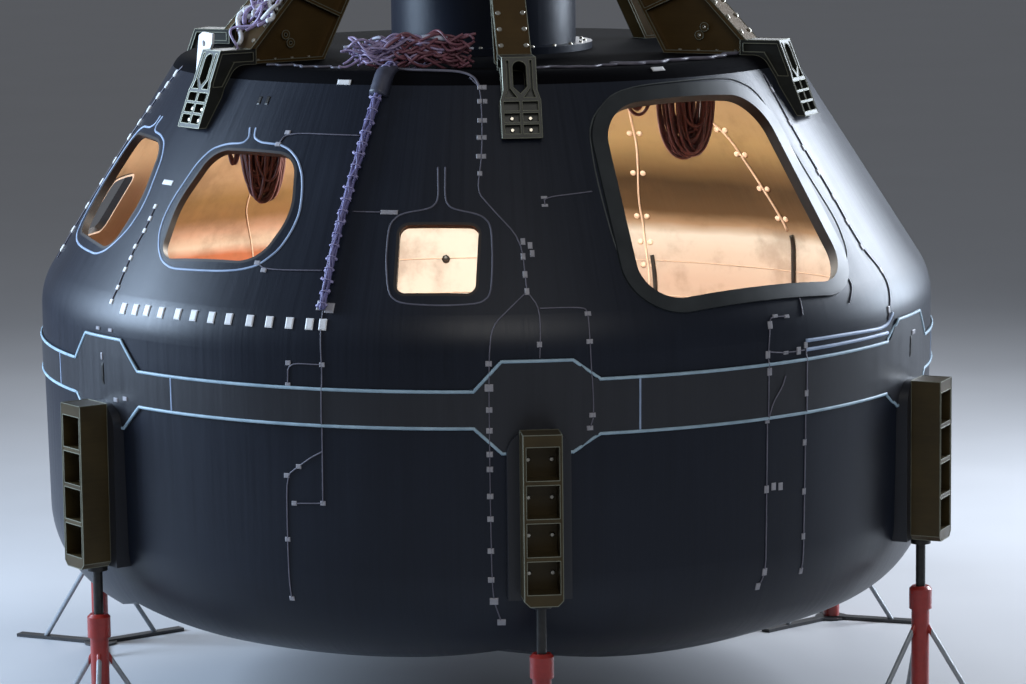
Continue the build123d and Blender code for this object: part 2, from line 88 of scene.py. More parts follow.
heading = -outward(camera_station) * cos(camera_turn) + along(camera_station) * sin(camera_turn)
level_right = heading.cross(Vector((0, 0, 1))).normalized()
sight = heading * cos(camera_pitch) - Vector((0, 0, sin(camera_pitch)))
level_up = level_right.cross(sight)
right = level_right * cos(camera_tilt) + level_up * sin(camera_tilt)
up = level_up * cos(camera_tilt) - level_right * sin(camera_tilt)
collection = bpy.context.scene.collection.objects
camera = bpy.data.objects.new("camera", bpy.data.cameras.new("camera"))
collection.link(camera)
camera.data.lens = camera_lens
camera.data.clip_end = 200
camera.matrix_world = Matrix((right, up, -sight)).transposed().to_4x4()
camera.location = at(camera_station, camera_distance, camera_height)
bpy.context.scene.camera = camera


# The studio: a pale seamless floor, large soft lamps, and a small warm lamp that hangs inside the
# cabin, which is lit in the photograph.
class Flow:
    """One output of a shader node. Arithmetic on it adds Math nodes to the same tree."""

    def __init__(self, tree, socket):
        self.tree = tree
        self.socket = socket

    @classmethod
    def node(cls, tree, kind, settings=None, values=None, output=0):
        """Add a node, set it up, feed its sockets, and give one of its outputs."""
        made = tree.nodes.new(kind)
        for name, setting in (settings or {}).items():
            if name == "stops":
                ramp = made.color_ramp
                while len(ramp.elements) < len(setting):
                    ramp.elements.new(0.5)
                for element, (position, tone) in zip(ramp.elements, setting):
                    element.position = position
                    element.color = (*tone, 1)
            else:
                setattr(made, name, setting)
        for name, value in (values or {}).items():
            if isinstance(value, Flow):
                tree.links.new(value.socket, made.inputs[name])
            else:
                made.inputs[name].default_value = value
        return cls(tree, made.outputs[output])

    def math(self, operation, first, second=0.0):
        """A Math node on two values."""
        return Flow.node(self.tree, "ShaderNodeMath", {"operation": operation}, {0: first, 1: second})

    def __add__(self, other):
        return self.math("ADD", self, other)

    def __sub__(self, other):
        return self.math("SUBTRACT", self, other)

    def __rsub__(self, other):
        return self.math("SUBTRACT", other, self)

    def __mul__(self, other):
        return self.math("MULTIPLY", self, other)

    def __truediv__(self, other):
        return self.math("DIVIDE", self, other)

    def __gt__(self, other):
        return self.math("GREATER_THAN", self, other)

    def __lt__(self, other):
        return self.math("LESS_THAN", self, other)

    __radd__ = __add__
    __rmul__ = __mul__


def blend(factor, low, high):
    """Mix two colours by a factor from 0 to 1."""
    values = {0: factor, 6: low, 7: high}
    for place in (6, 7):
        if not isinstance(values[place], Flow):
            values[place] = (*values[place], 1)
    return Flow.node(factor.tree, "ShaderNodeMix", {"data_type": "RGBA"}, values, output=2)


def noise(place, scale, detail=3.0, roughness=0.5):
    """Cloudy noise from about 0.3 to 0.7 at a place vector."""
    return Flow.node(
        place.tree, "ShaderNodeTexNoise", {},
        {"Vector": place, "Scale": scale, "Detail": detail, "Roughness": roughness},
    )


def stretched(place, sides):
    """A place vector with each side multiplied."""
    return Flow.node(
        place.tree, "ShaderNodeVectorMath", {"operation": "MULTIPLY"}, {0: place, 1: sides}
    )


def coordinate(place, side):
    """One coordinate of a place vector."""
    return Flow.node(place.tree, "ShaderNodeSeparateXYZ", {}, {0: place}, output=side)


def away_from(place, middle):
    """The vector to a place from a middle."""
    return Flow.node(place.tree, "ShaderNodeVectorMath", {"operation": "SUBTRACT"}, {0: place, 1: middle})


def facing(place, heading):
    """How far the surface at a place faces along a vector."""
    normal = Flow.node(place.tree, "ShaderNodeNewGeometry", output="True Normal")
    return Flow.node(
        place.tree, "ShaderNodeVectorMath", {"operation": "DOT_PRODUCT"}, {0: normal, 1: heading},
        output="Value",
    )


def bump(height, strength, distance):
    """A normal that follows a height."""
    return Flow.node(
        height.tree, "ShaderNodeBump", {},
        {"Height": height, "Strength": strength, "Distance": distance},
    )


def finish(name, recipe, **fixed):
    """A material. recipe(place) gives what varies over it, fixed the shader's plain values."""
    material = bpy.data.materials.new(name)
    material.use_nodes = True
    tree = material.node_tree
    shader = tree.nodes["Principled BSDF"]
    for words, value in fixed.items():
        shader.inputs[words.replace("_", " ").title().replace("Ior", "IOR")].default_value = value
    place = Flow.node(tree, "ShaderNodeTexCoord", output="Object")
    for words, flow in recipe(place).items():
        tree.links.new(flow.socket, shader.inputs[words])
    return material


def floor_paint(place):
    """Pale sealed concrete, faintly clouded."""
    cloud = noise(place, 0.6, detail=4)
    return {
        "Base Color": blend(cloud, (0.47, 0.47, 0.48), (0.56, 0.56, 0.57)),
        "Roughness": cloud * 0.2 + 0.45,
    }


floor_half = 60.0
floor_mesh = bpy.data.meshes.new("floor")
floor_mesh.from_pydata(
    [(x * floor_half, y * floor_half, 0) for x, y in ((-1, -1), (1, -1), (1, 1), (-1, 1))],
    [], [(0, 1, 2, 3)],
)
floor = bpy.data.objects.new("floor", floor_mesh)
floor_mesh.materials.append(finish("floor_paint", floor_paint))
collection.link(floor)

bpy.context.scene.view_settings.view_transform = "Standard"
world = bpy.data.worlds.new("studio")
bpy.context.scene.world = world
world.use_nodes = True
world_tree = world.node_tree
backdrop = world_tree.nodes["Background"]
backdrop.inputs["Color"].default_value = (0.8, 0.84, 0.92, 1)
seen = Flow.node(world_tree, "ShaderNodeLightPath", output="Is Camera Ray")
world_tree.links.new((seen * 0.8 + 0.2).socket, backdrop.inputs["Strength"])

# Each soft lamp: station, distance, height, width, power, colour
soft_lamps = [
    (-36, 8.5, 4.4, 3.8, 1250, (0.6, 0.77, 1.0)),
    (172, 9.0, 6.0, 3.6, 900, (0.8, 0.88, 1.0)),
    (168, 9.0, 3.0, 2.2, 420, (0.74, 0.85, 1.0)),
    (60, 10.0, 8.0, 5.0, 220, (1.0, 0.98, 0.95)),
    (235, 9.0, 7.5, 5.0, 320, (0.9, 0.94, 1.0)),
]
lamp_aim = Vector((0, 0, 1.9))


def hang_lamp(name, place, width, power, tone):
    """A square lamp that shines straight down."""
    lamp = bpy.data.objects.new(name, bpy.data.lights.new(name, "AREA"))
    lamp.data.size = width
    lamp.data.energy = power
    lamp.data.color = tone
    lamp.location = place
    collection.link(lamp)
    return lamp


for number, (station, distance, height, width, power, tone) in enumerate(soft_lamps):
    lamp = hang_lamp(f"soft_lamp_{number}", at(station, distance, height), width, power, tone)
    lamp.rotation_euler = (lamp_aim - lamp.location).to_track_quat("-Z", "Y").to_euler()
hang_lamp("cabin_lamp", (0, 0, 3.22), 0.8, 250, (1.0, 0.93, 0.84))


# The pressure shell: a cone and a barrel of carbon sandwich with a lobed floor. Outside it is bare
# satin carbon with upright sanding streaks; inside it has a copper-coloured film.
cabin_middle = (0, 0, 2.0)
barrel_radius = 2.3


def inside_mask(place):
    """1 on surfaces that face the middle of the cabin, 0 outside."""
    return facing(place, away_from(place, cabin_middle)) < 0.0


def unrolled(place):
    """The place on the unrolled wall: metres round the barrel, metres up."""
    x, y, z = (coordinate(place, side) for side in "XYZ")
    turn = place.math("ARCTAN2", x, 0.0 - y) * barrel_radius
    return Flow.node(place.tree, "ShaderNodeCombineXYZ", {}, {0: turn, 1: z, 2: 0.0})


def bare_carbon(place, dark=(0.003, 0.0042, 0.008), pale=(0.012, 0.017, 0.031)):
    """Bare carbon composite with upright sanding streaks."""
    wall = unrolled(place)
    streaks = noise(stretched(wall, (42, 0.9, 1)), 1.0, detail=4, roughness=0.65)
    clouds = noise(place, 1.7, detail=4)
    weave = Flow.node(
        place.tree, "ShaderNodeTexChecker", {}, {"Vector": wall, "Scale": 160.0}, output="Fac"
    )
    return {
        "Base Color": blend(streaks * 0.6 + clouds * 0.4, dark, pale),
        "Roughness": streaks * 0.22 + clouds * 0.16 + 0.18,
        "Normal": bump(weave * 0.4 + streaks, 0.1, 0.004),
    }


def rising(value, start, end):
    """From 0 to 1 as a value goes from start to end."""
    return Flow.node(
        value.tree, "ShaderNodeMapRange", {"interpolation_type": "SMOOTHSTEP"},
        {"Value": value, "From Min": start, "From Max": end},
    )


def copper_film(place, stops):
    """Tones of the copper film by height, from 1.0 m to 3.3 m above the floor; its bands paint light and
    shade on the cabin wall.
    """
    drift = noise(stretched(place, (0.8, 0.8, 3.0)), 1.0, detail=4, roughness=0.6) * 0.14 - 0.07
    share = (coordinate(place, "Z") + drift - 1.0) / 2.3
    return Flow.node(place.tree, "ShaderNodeValToRGB", {"stops": stops}, {0: share})


def lined_carbon(place, **tones):
    """Bare carbon outside; inside a copper film from tan through dark to cream, its tones painted light and
    shade.
    """
    made = bare_carbon(place, **tones)
    across = coordinate(place, "Y")
    # A shaded and a lit copy of the film's tones, for the wall seen through the hatch, where Y is high, and
    # for the rest. In both the dark band on the lower cone is painted shade, and the pale band below the
    # eave is partly painted light and partly the inner strap's own tone.
    shaded_copper_film = copper_film(place, [
        (0.0, (0.3, 0.22, 0.16)), (0.37, (0.44, 0.33, 0.26)), (0.435, (0.49, 0.41, 0.34)),
        (0.485, (0.54, 0.51, 0.45)), (0.515, (0.29, 0.2, 0.12)), (0.545, (0.09, 0.055, 0.026)),
        (0.62, (0.045, 0.028, 0.012)), (0.66, (0.13, 0.085, 0.036)), (0.74, (0.31, 0.22, 0.1)),
        (1.0, (0.42, 0.31, 0.2)),
    ])
    lit_copper_film = copper_film(place, [
        (0.0, (0.34, 0.12, 0.05)), (0.465, (0.38, 0.12, 0.055)), (0.49, (0.56, 0.46, 0.36)),
        (0.525, (0.48, 0.31, 0.22)), (0.56, (0.24, 0.14, 0.058)), (0.61, (0.24, 0.15, 0.058)),
        (0.66, (0.38, 0.26, 0.15)), (1.0, (0.44, 0.34, 0.23)),
    ])
    film = blend(rising(across, 0.5, 1.5), lit_copper_film, shaded_copper_film)
    # A pale cream patch where Y is about 0.4 to 1.55 m: painted light on the wall.
    pale = rising(across, 0.4, 0.9) * rising(across, 1.55, 1.25) * 0.8
    film = blend(pale, film, (0.6, 0.58, 0.52))
    # Dark brown low on the wall where Y is below about -0.4 m, under about 2.8 m: painted shade.
    painted_shade_low = rising(across, -0.4, -1.1) * rising(coordinate(place, "Z"), 2.8, 2.52) * 0.85
    film = blend(painted_shade_low, film, (0.05, 0.018, 0.008))
    mottle = rising(noise(place, 2.6, detail=7, roughness=0.62), 0.46, 0.68) * 0.42
    film = blend(mottle, film, (0.1, 0.06, 0.028))
    inside = inside_mask(place)
    made["Base Color"] = blend(inside, made["Base Color"], film)
    made["Roughness"] = made["Roughness"] + inside * 0.25
    return made


def repaint(node, material):
    """Give a node of the solid model a better material."""
    nodes[node].material_slots[0].material = material


shell_carbon = finish("shell_carbon", lined_carbon, specular_ior_level=0.3)
for node in ("upper_shell", "lower_shell", "backbone"):
    repaint(node, shell_carbon)


# The ceiling disc that closes the cone, matt black carbon with copper film below, and the docking
# tunnel of bare carbon that is bolted on it.
def top_carbon(place):
    """Matt black carbon, copper film below."""
    made = lined_carbon(place, dark=(0.0012, 0.0012, 0.0016), pale=(0.005, 0.005, 0.007))
    made["Roughness"] = made["Roughness"] * 0.3 + 0.75
    return made


repaint("ceiling", finish("top_carbon", top_carbon, specular_ior_level=0.04))
repaint("docking_tunnel", finish("tunnel_carbon", bare_carbon, specular_ior_level=0.15))


# The splice belt: a carbon strap bonded over the joint of the two half shells, with a pad behind
# each load fitting. Its edges are sealed with a pale blue bead.
def belt_carbon(place):
    """Slightly paler and duller carbon."""
    return bare_carbon(place, dark=(0.01, 0.011, 0.014), pale=(0.024, 0.026, 0.034))


def uneven(low, high, grain, roughness, strength, depth):
    """Recipe for a soft coat, uneven between two tones."""
    def recipe(place):
        patches = noise(place, grain, detail=4, roughness=roughness)
        return {
            "Base Color": blend(patches, low, high),
            "Roughness": patches * 0.3 + 0.3,
            "Normal": bump(patches, strength, depth),
        }
    return recipe


def sealant(low, high):
    """Recipe for a sealant bead."""
    return uneven(low, high, 14.0, 0.5, 0.25, 0.003)


repaint("splice_belt", finish("belt_carbon", belt_carbon))
bead_paint = finish("bead_paint", sealant((0.16, 0.26, 0.34), (0.48, 0.64, 0.74)))

# The shell as one surface, on which beads, leads and pads are laid
skin_points = []
skin_faces = []
for node in ("upper_shell", "lower_shell", "splice_belt", "ceiling"):
    first = len(skin_points)
    skin_points += [vertex.co.copy() for vertex in nodes[node].data.vertices]
    skin_faces += [[first + index for index in face.vertices] for face in nodes[node].data.polygons]
skin = BVHTree.FromPolygons(skin_points, skin_faces)
outside_reach = 3.5
inside_start = 1.2
wall_radius = 2.2
slope_stretch = 1.15


def met_wall(start, heading, height):
    """Point and normal of the wall where a level ray meets it."""
    point, normal, _, _ = skin.ray_cast(start + Vector((0, 0, height)), heading)
    return point, -normal if normal.dot(heading) > 0 else normal


def on_skin(station, height):
    """Point and outward normal of the shell's outside at a station and a height."""
    out = outward(station)
    return met_wall(out * outside_reach, -out, height)


def rounded(corners, closed=False, passes=2):
    """Cut the corners of a route of (station, height) pairs, each pass a fifth in from each end."""
    for _ in range(passes):
        cut = [] if closed else [corners[0]]
        pairs = zip(corners, corners[1:] + corners[:1] if closed else corners[1:])
        for (s0, h0), (s1, h1) in pairs:
            cut += [(s0 * 0.8 + s1 * 0.2, h0 * 0.8 + h1 * 0.2), (s0 * 0.2 + s1 * 0.8, h0 * 0.2 + h1 * 0.8)]
        corners = cut if closed else cut + [corners[-1]]
    return corners


def traced(corners, closed=False, step=0.02):
    """Points and normals on the shell, evenly spaced along a route of (station, height) pairs."""
    ends = corners + corners[:1] if closed else corners
    samples = []
    for (s0, h0), (s1, h1) in zip(ends, ends[1:]):
        reach = ((radians(s1 - s0) * wall_radius) ** 2 + ((h1 - h0) * slope_stretch) ** 2) ** 0.5
        count = max(1, ceil(reach / step))
        samples += [
            on_skin(s0 + (s1 - s0) * i / count, h0 + (h1 - h0) * i / count) for i in range(count)
        ]
    return samples if closed else samples + [on_skin(*ends[-1])]


def ring_faces(sides, rings):
    """Quads between rings of vertices that follow each other."""
    return [
        (a + i, a + (i + 1) % sides, a + sides + (i + 1) % sides, a + sides + i)
        for a in range(0, (rings - 1) * sides, sides) for i in range(sides)
    ]


def strip_mesh(samples, width, rise, closed=False):
    """Vertices and faces of a low rounded strip that lies on sampled points."""
    profile = [(-0.5, -0.25), (-0.34, 0.75), (0, 1.0), (0.34, 0.75), (0.5, -0.25)]
    points = []
    faces = []
    count = len(samples)
    for index, (point, normal) in enumerate(samples):
        before = samples[index - 1][0] if closed or index else point
        after = samples[(index + 1) % count][0] if closed or index < count - 1 else point
        side = normal.cross(after - before).normalized()
        points += [point + side * (across * width) + normal * (lift * rise) for across, lift in profile]
    ring = len(profile)
    for index in range(count if closed else count - 1):
        a = index * ring
        b = ((index + 1) % count) * ring
        faces += [(a + k, a + k + 1, b + k + 1, b + k) for k in range(ring - 1)]
        faces.append((a + ring - 1, a, b, b + ring - 1))
    if not closed:
        faces += [tuple(range(ring))[::-1], tuple(range((count - 1) * ring, count * ring))]
    return points, faces


def frames_along(points):
    """Two directions across a route at each of its points, without twist."""
    across = None
    pairs = []
    for index in range(len(points)):
        heading = (points[min(index + 1, len(points) - 1)] - points[max(index - 1, 0)]).normalized()
        across = heading.orthogonal() if across is None else across - heading * across.dot(heading)
        across.normalize()
        pairs.append((across.copy(), heading.cross(across)))
    return pairs


def tube_mesh(points, radius, sides=6):
    """Vertices and faces of a round tube along points, closed at its ends."""
    made = []
    for point, (across, other) in zip(points, frames_along(points)):
        for turn in range(sides):
            angle = 2 * pi * turn / sides
            made.append(point + (across * cos(angle) + other * sin(angle)) * radius)
    last = (len(points) - 1) * sides
    ends = [tuple(range(sides))[::-1], tuple(range(last, last + sides))]
    return made, ring_faces(sides, len(points)) + ends


def joined(meshes):
    """One list of vertices and faces from several."""
    points = []
    faces = []
    for more_points, more_faces in meshes:
        faces += [tuple(len(points) + index for index in face) for face in more_faces]
        points += more_points
    return points, faces


def add_piece(name, mesh, material, smooth=True):
    """Make a piece that rides on the capsule, from vertices and faces."""
    data = bpy.data.meshes.new(name)
    data.from_pydata(mesh[0], [], mesh[1])
    data.materials.append(material)
    made = bmesh.new()
    made.from_mesh(data)
    bmesh.ops.recalc_face_normals(made, faces=made.faces)
    made.to_mesh(data)
    made.free()
    if smooth:
        data.shade_smooth()
    piece = bpy.data.objects.new(name, data)
    collection.link(piece)
    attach(piece, "root")
    return piece


stations = [0, 60, 120, 180, 240, 300]
# Heights of the belt's two edges: in general, where it is wide under the hatch, at a fitting
belt_edges = {"high": (1.919, 1.964, 2.059), "low": (1.746, 1.706, 1.626)}
wide_belt = (66.5, 113.5)
pad_half = 7.4
pad_flat = 4.15
bead_width = 0.017
bead_rise = 0.006
belt_meshes = []
for normal_height, wide_height, pad_height in belt_edges.values():
    edge = []
    for station in stations:
        left = wide_height if station == 120 else normal_height
        far = wide_height if station == 60 else normal_height
        edge += [(station - pad_half, left), (station - pad_flat, pad_height)]
        edge += [(station + pad_flat, pad_height), (station + pad_half, far)]
    edge.append((360 - pad_half, normal_height))
    belt_meshes.append(strip_mesh(traced(edge), bead_width, bead_rise))
add_piece("belt_beads", joined(belt_meshes), bead_paint)


# Window frames: carbon rings bonded into the cone's openings, with a sealant bead a few centimetres
# outside each. The beads run up to a pair of leads.
def frame_carbon(place):
    """Dark edge ring, faintly brown from the film inside; its face to the cabin is pale."""
    cloud = noise(place, 9.0)
    inner_face = facing(place, stretched(place, (1, 1, 0))) < -1.3
    dark = blend(cloud, (0.006, 0.005, 0.005), (0.03, 0.019, 0.013))
    return {
        "Base Color": blend(inner_face, dark, (0.62, 0.56, 0.5)),
        "Roughness": cloud * 0.3 + 0.4,
    }


ring_finish = finish("frame_carbon", frame_carbon)
for side in ("right", "left"):
    repaint("window_frame_" + side, ring_finish)
    repaint("small_window_frame_" + side, ring_finish)


eave_height = 2.179
cone_angle = radians(32.2)
fine_bead = 0.0095
fine_rise = 0.004
bead_step = 0.012
# Routes of the beads: station and height of each bend
window_bead = [
    (13.5, 3.065), (14.2, 3.02), (13.4, 2.993), (10.0, 2.985), (7.0, 2.955), (5.1, 2.885), (4.2, 2.797),
    (3.4, 2.711), (3.3, 2.636), (3.9, 2.56), (5.4, 2.49), (7.2, 2.438), (9.6, 2.412), (13.0, 2.415),
    (18.0, 2.422), (21.1, 2.434), (23.8, 2.46), (26.1, 2.532), (27.2, 2.611), (27.7, 2.695),
    (27.3, 2.78), (26.4, 2.868), (24.9, 2.935), (22.9, 2.978), (20.8, 2.998), (18.7, 3.0),
    (16.9, 3.003), (15.2, 3.022), (14.8, 3.066),
]
small_bead = [
    (47.3, 2.915), (47.7, 2.771), (46.7, 2.732), (42.5, 2.709), (41.1, 2.66), (41.3, 2.507),
    (42.2, 2.356), (43.8, 2.318), (48.7, 2.31), (53.5, 2.318), (54.8, 2.356), (55.1, 2.508),
    (55.0, 2.66), (53.6, 2.705), (49.5, 2.732), (48.6, 2.771), (48.4, 2.915),
]
window_paint = finish("window_paint", sealant((0.18, 0.25, 0.38), (0.42, 0.52, 0.7)))
small_paint = finish("small_paint", sealant((0.05, 0.05, 0.07), (0.17, 0.17, 0.22)))
for name, paint, corners, width in (
    ("window_beads", window_paint, window_bead, 0.013),
    ("small_window_beads", small_paint, small_bead, fine_bead),
):
    bead_meshes = []
    for sign in (1, -1):
        route = rounded([(sign * station, height) for station, height in corners])
        bead_meshes.append(strip_mesh(traced(route, False, bead_step), width, fine_rise))
    add_piece(name, joined(bead_meshes), paint)


# The side hatch's frame: a machined ring with a deep reveal, primed dark green grey, set proud of
# the cone and sealed round its outside.
def primer(place):
    """Green grey primer; the sides that face into the opening are painted black as the shade of the deep
    reveal.
    """
    cloud = noise(place, 6.0, detail=5)
    # Black on the faces that point into the opening: painted shade in the reveal.
    painted_reveal_shade = facing(place, away_from(place, hatch_middle)) < 0.0
    ring = blend(cloud, (0.009, 0.011, 0.012), (0.034, 0.04, 0.042))
    return {
        "Base Color": blend(painted_reveal_shade, ring, (0.003, 0.003, 0.003)),
        "Roughness": cloud * 0.25 + 0.22 + painted_reveal_shade * 0.35,
        "Normal": bump(noise(place, 60.0), 0.08, 0.002),
    }


hatch_middle = (1.933, 0.0, 2.756)
repaint("hatch_frame", finish("primer", primer))
# Route of its bead: station, and metres up the slope from the eave
hatch_bead = [
    (70.9, 1.094), (70.5, 0.819), (71.4, 0.383), (73.4, 0.218), (77.1, 0.11), (86.6, 0.1),
    (101.3, 0.129), (106.1, 0.155), (109.5, 0.283), (110.9, 0.451), (109.8, 0.738),
    (109.1, 1.012), (107.8, 1.202), (101.6, 1.29), (77.5, 1.274),
]
slope_route = [(station, eave_height + slant * cos(cone_angle)) for station, slant in hatch_bead]
hatch_route = rounded(slope_route, True, 3)
hatch_paint = finish("hatch_paint", sealant((0.02, 0.024, 0.024), (0.085, 0.095, 0.095)))
hatch_mesh = strip_mesh(traced(hatch_route, True, bead_step), fine_bead, fine_rise, True)
add_piece("hatch_bead", hatch_mesh, hatch_paint)


# Load fittings and the gussets round the tunnel: milled aluminium with an olive conversion coat,
# held by rows of bolts. The lower fittings sit on composite seats.
def conversion_coat(low, high):
    """Recipe for a yellow-green conversion coat between two tones."""
    def recipe(place):
        cloud = noise(place, 5.0, detail=5, roughness=0.6)
        lines = noise(stretched(place, (3, 3, 90)), 1.0, detail=2)
        return {
            "Base Color": blend(cloud * 0.8 + lines * 0.2, low, high),
            "Roughness": cloud * 0.3 + 0.25,
            "Metallic": cloud * 0.2 + 0.35,
            "Normal": bump(lines, 0.06, 0.001),
        }
    return recipe


dark_coat = finish("dark_coat", conversion_coat((0.02, 0.014, 0.005), (0.095, 0.066, 0.024)))
pale_coat = finish("pale_coat", conversion_coat((0.01, 0.01, 0.008), (0.034, 0.036, 0.031)))
gusset_coat = finish("gusset_coat", conversion_coat((0.038, 0.021, 0.005), (0.12, 0.07, 0.019)))
repaint("fitting_seats", nodes["splice_belt"].material_slots[0].material)
for number in range(1, 7):
    repaint(f"lower_fitting_{number}", dark_coat)
    repaint(f"upper_fitting_{number}", pale_coat)
    repaint(f"gusset_{number}", gusset_coat)


def edge_highlight_rods(names, radius):
    """Thin rods along the outer corners of solids: a painted highlight where the bevelled edge catches the
    light.
    """
    rods = []
    for name in names:
        solid = bmesh.new()
        solid.from_mesh(nodes[name].data)
        bmesh.ops.remove_doubles(solid, verts=solid.verts, dist=1e-5)
        for edge in solid.edges:
            if len(edge.link_faces) == 2 and edge.is_convex and edge.calc_face_angle() > 0.6:
                rods.append(tube_mesh([vertex.co.copy() for vertex in edge.verts], radius, 4))
        solid.free()
    return joined(rods)


# A pale coat for the rods: painted highlights along the edges of the fittings and gussets.
painted_edge_highlight = finish("painted_edge_highlight", conversion_coat((0.11, 0.11, 0.075), (0.29, 0.29, 0.22)))
for kind, radius in (("upper_fitting", 0.0024), ("lower_fitting", 0.0026), ("gusset", 0.0024)):
    edges = edge_highlight_rods([f"{kind}_{number}" for number in range(1, 7)], radius)
    add_piece(kind + "_edges", edges, painted_edge_highlight, False)


def stud(point, normal, radius, rise):
    """Vertices and faces of a bolt head: a bevelled drum with eight sides."""
    side = normal.orthogonal().normalized()
    other = normal.cross(side)
    points = []
    for spread, lift in ((1.0, -0.3), (1.0, 0.6), (0.7, 1.0)):
        for turn in range(8):
            angle = turn * pi / 4
            away = (side * cos(angle) + other * sin(angle)) * radius * spread
            points.append(point + away + normal * rise * lift)
    return points, [tuple(range(8))[::-1], tuple(range(16, 24))] + ring_faces(8, 3)


def bare_steel(place):
    """Bright steel, faintly yellowed."""
    cloud = noise(place, 25.0)
    return {
        "Base Color": blend(cloud, (0.4, 0.37, 0.3), (0.72, 0.68, 0.58)),
        "Roughness": cloud * 0.3 + 0.15,
    }


# Each kind of bolt head: radius and rise
pocket_bolt = (0.012, 0.01)
cap_bolt = (0.013, 0.011)
foot_bolt = (0.01, 0.008)
face_bolt = (0.011, 0.01)
ring_bolt = (0.01, 0.009)
stud_meshes = []
fitting_middle = 1.34
fitting_pitch = 0.1785
pocket_floor = 2.359
# Radius and height of the ends of a gusset's cap
cap_foot = (1.47, 3.415)
cap_head = (0.76, 4.165)
cap_length = ((cap_head[0] - cap_foot[0]) ** 2 + (cap_head[1] - cap_foot[1]) ** 2) ** 0.5
cap_rise = (cap_foot[0] - cap_head[0]) / cap_length
cap_run = (cap_head[1] - cap_foot[1]) / cap_length
gusset_foot_z = 3.354
# An upper fitting's face: radius and height of its foot, its lean, and its recess's depth
face_foot = (1.79, 3.045)
face_lean = Vector((0.931, 0.365))
face_sunk = 0.026
tunnel_ring = (0.52, 3.375)
tunnel_ring_bolts = 24


def on_cap(station, share, across, lift=0.0):
    """Point over a gusset's sloping cap, a share of the way from its foot to its head."""
    radius = cap_foot[0] + (cap_head[0] - cap_foot[0]) * share + cap_run * lift
    height = cap_foot[1] + (cap_head[1] - cap_foot[1]) * share + cap_rise * lift
    return at(station, radius, height, across)


for station in stations:
    for row in range(4):
        for across in (-0.055, 0.055):
            place = at(station, pocket_floor, fitting_middle + (row - 1.5) * fitting_pitch, across)
            stud_meshes.append(stud(place, outward(station), *pocket_bolt))
    for row in range(10):
        for across in (-0.06, 0.06):
            place = on_cap(station, 0.05 + row * 0.098, across)
            stud_meshes.append(stud(place, at(station, cap_run, cap_rise), *cap_bolt))
    for radius in (1.1, 1.2, 1.3, 1.4):
        for across in (-0.035, 0.035):
            place = at(station, radius, gusset_foot_z, across)
            stud_meshes.append(stud(place, Vector((0, 0, 1)), *foot_bolt))
    for across, lift in ((-0.044, 0.043), (0.044, 0.043), (-0.044, 0.1), (0.044, 0.1)):
        radius = face_foot[0] - lift * face_lean.y - face_sunk * face_lean.x
        height = face_foot[1] + lift * face_lean.x - face_sunk * face_lean.y
        place = at(station, radius, height, across)
        stud_meshes.append(stud(place, at(station, face_lean.x, face_lean.y), *face_bolt))
for number in range(tunnel_ring_bolts):
    place = at(360 * number / tunnel_ring_bolts + 7.5, *tunnel_ring)
    stud_meshes.append(stud(place, Vector((0, 0, 1)), *ring_bolt))
add_piece("bolts", joined(stud_meshes), finish("bare_steel", bare_steel, metallic=0.9), False)


# Jack stands: gloss red steel tubes and collars on black floor bars, with bare grey braces and a
# black screw up to the load fitting.
stand_radius = 2.368
tube_reach = 0.062
floor_bar_top = 0.0185


def stand_paint(place):
    """Red on the tube and collar, black on the floor bars, grey on the braces."""
    x, y, z = (coordinate(place, side) for side in "XYZ")
    sixth = pi / 3
    turn = place.math("ARCTAN2", x, 0.0 - y) / sixth
    nearest = place.math("ROUND", turn) * sixth
    from_x = x - place.math("SINE", nearest) * stand_radius
    from_y = y + place.math("COSINE", nearest) * stand_radius
    on_tube = (from_x * from_x + from_y * from_y) < tube_reach ** 2
    wear = noise(place, 18.0, detail=5, roughness=0.7)
    reds = blend(wear, (0.17, 0.006, 0.005), (0.42, 0.03, 0.02))
    greys = blend(wear, (0.16, 0.18, 0.2), (0.42, 0.45, 0.48))
    blacks = blend(wear, (0.012, 0.012, 0.013), (0.05, 0.05, 0.052))
    return {
        "Base Color": blend(z > floor_bar_top, blacks, blend(on_tube, greys, reds)),
        "Roughness": wear * 0.3 + 0.2,
    }


def black_oxide(place):
    """Oiled black steel."""
    wear = noise(place, 30.0, detail=4)
    return {
        "Base Color": blend(wear, (0.012, 0.012, 0.012), (0.06, 0.058, 0.055)),
        "Roughness": wear * 0.3 + 0.25,
    }


red_paint = finish("red_paint", stand_paint, coat_weight=0.3)
black_steel = finish("black_oxide", black_oxide, metallic=0.6)
for number in range(1, 7):
    repaint(f"jack_stand_{number}", red_paint)
    repaint(f"jack_screw_{number}", black_steel)


# Instrument wiring on the outside: thin leads held by pads of tape, rows of pads along the eave and
# beside the fittings, and short cable channels near the hatch.
def insulation(low, high):
    """Recipe for wire insulation or tape."""
    return uneven(low, high, 22.0, 0.6, 0.2, 0.002)


def lead(corners, radius):
    """A thin lead that lies on the outside along a route of (station, height) pairs."""
    samples = traced(rounded(corners), step=0.025)
    return tube_mesh([point + normal * radius for point, normal in samples], radius)


def pad(station, height, width, tall, rise):
    """A flat pad with bevelled edges, laid on the outside."""
    point, normal = on_skin(station, height)
    side = along(station)
    upward = normal.cross(side)
    points = []
    for spread, lift in ((1.0, -0.4), (1.0, 0.6), (0.75, 1.0)):
        for x, y in ((-1, -1), (1, -1), (1, 1), (-1, 1)):
            corner = point + side * (x * width * spread / 2) + upward * (y * tall * spread / 2)
            points.append(corner + normal * (lift * rise))
    return points, [(3, 2, 1, 0), (8, 9, 10, 11)] + ring_faces(4, 3)


lead_radius = 0.0032
